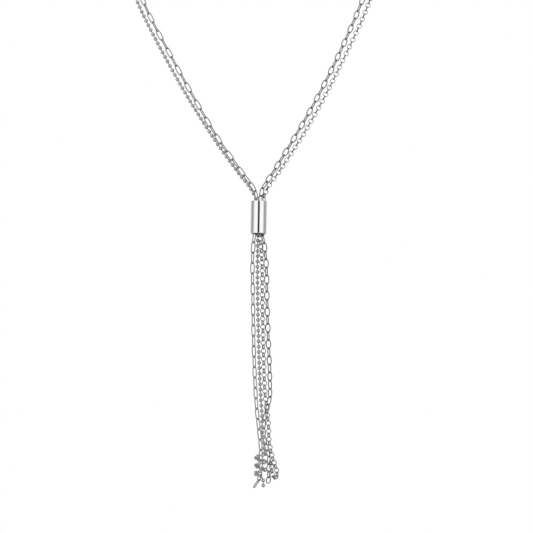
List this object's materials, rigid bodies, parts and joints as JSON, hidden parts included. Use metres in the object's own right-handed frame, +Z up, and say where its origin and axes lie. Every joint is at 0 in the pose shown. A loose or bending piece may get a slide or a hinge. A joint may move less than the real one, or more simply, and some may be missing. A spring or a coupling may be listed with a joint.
{
  "type": "fringe necklace",
  "caption": "Silver-coloured Y-shaped necklace of mixed fine chains that run through a polished tube and end in a long chain tassel.",
  "frame": {"origin": "the point at the nape where the clasp lies on the back of the neck", "axes": "+Z up as worn, -Y the way the wearer faces, +X to the right as seen from the front"},
  "size_m": [0.1299, 0.1009, 0.274],
  "materials": {
    "oblong_wire": "polished",
    "ball_metal": "polished",
    "oval_wire": "polished",
    "rolo_band": "polished",
    "polished_tube": "mirror polished",
    "findings": "polished"
  },
  "bodies": {
    "root": {"oblong_chain": "oblong_wire", "ball_chain": "ball_metal", "oval_chain": "oval_wire", "rolo_chain": "rolo_band", "slide_tube": "polished_tube", "left_end_ring": "findings", "right_end_ring": "findings", "barrel_clasp": "findings"}
  },
  "joints": []
}
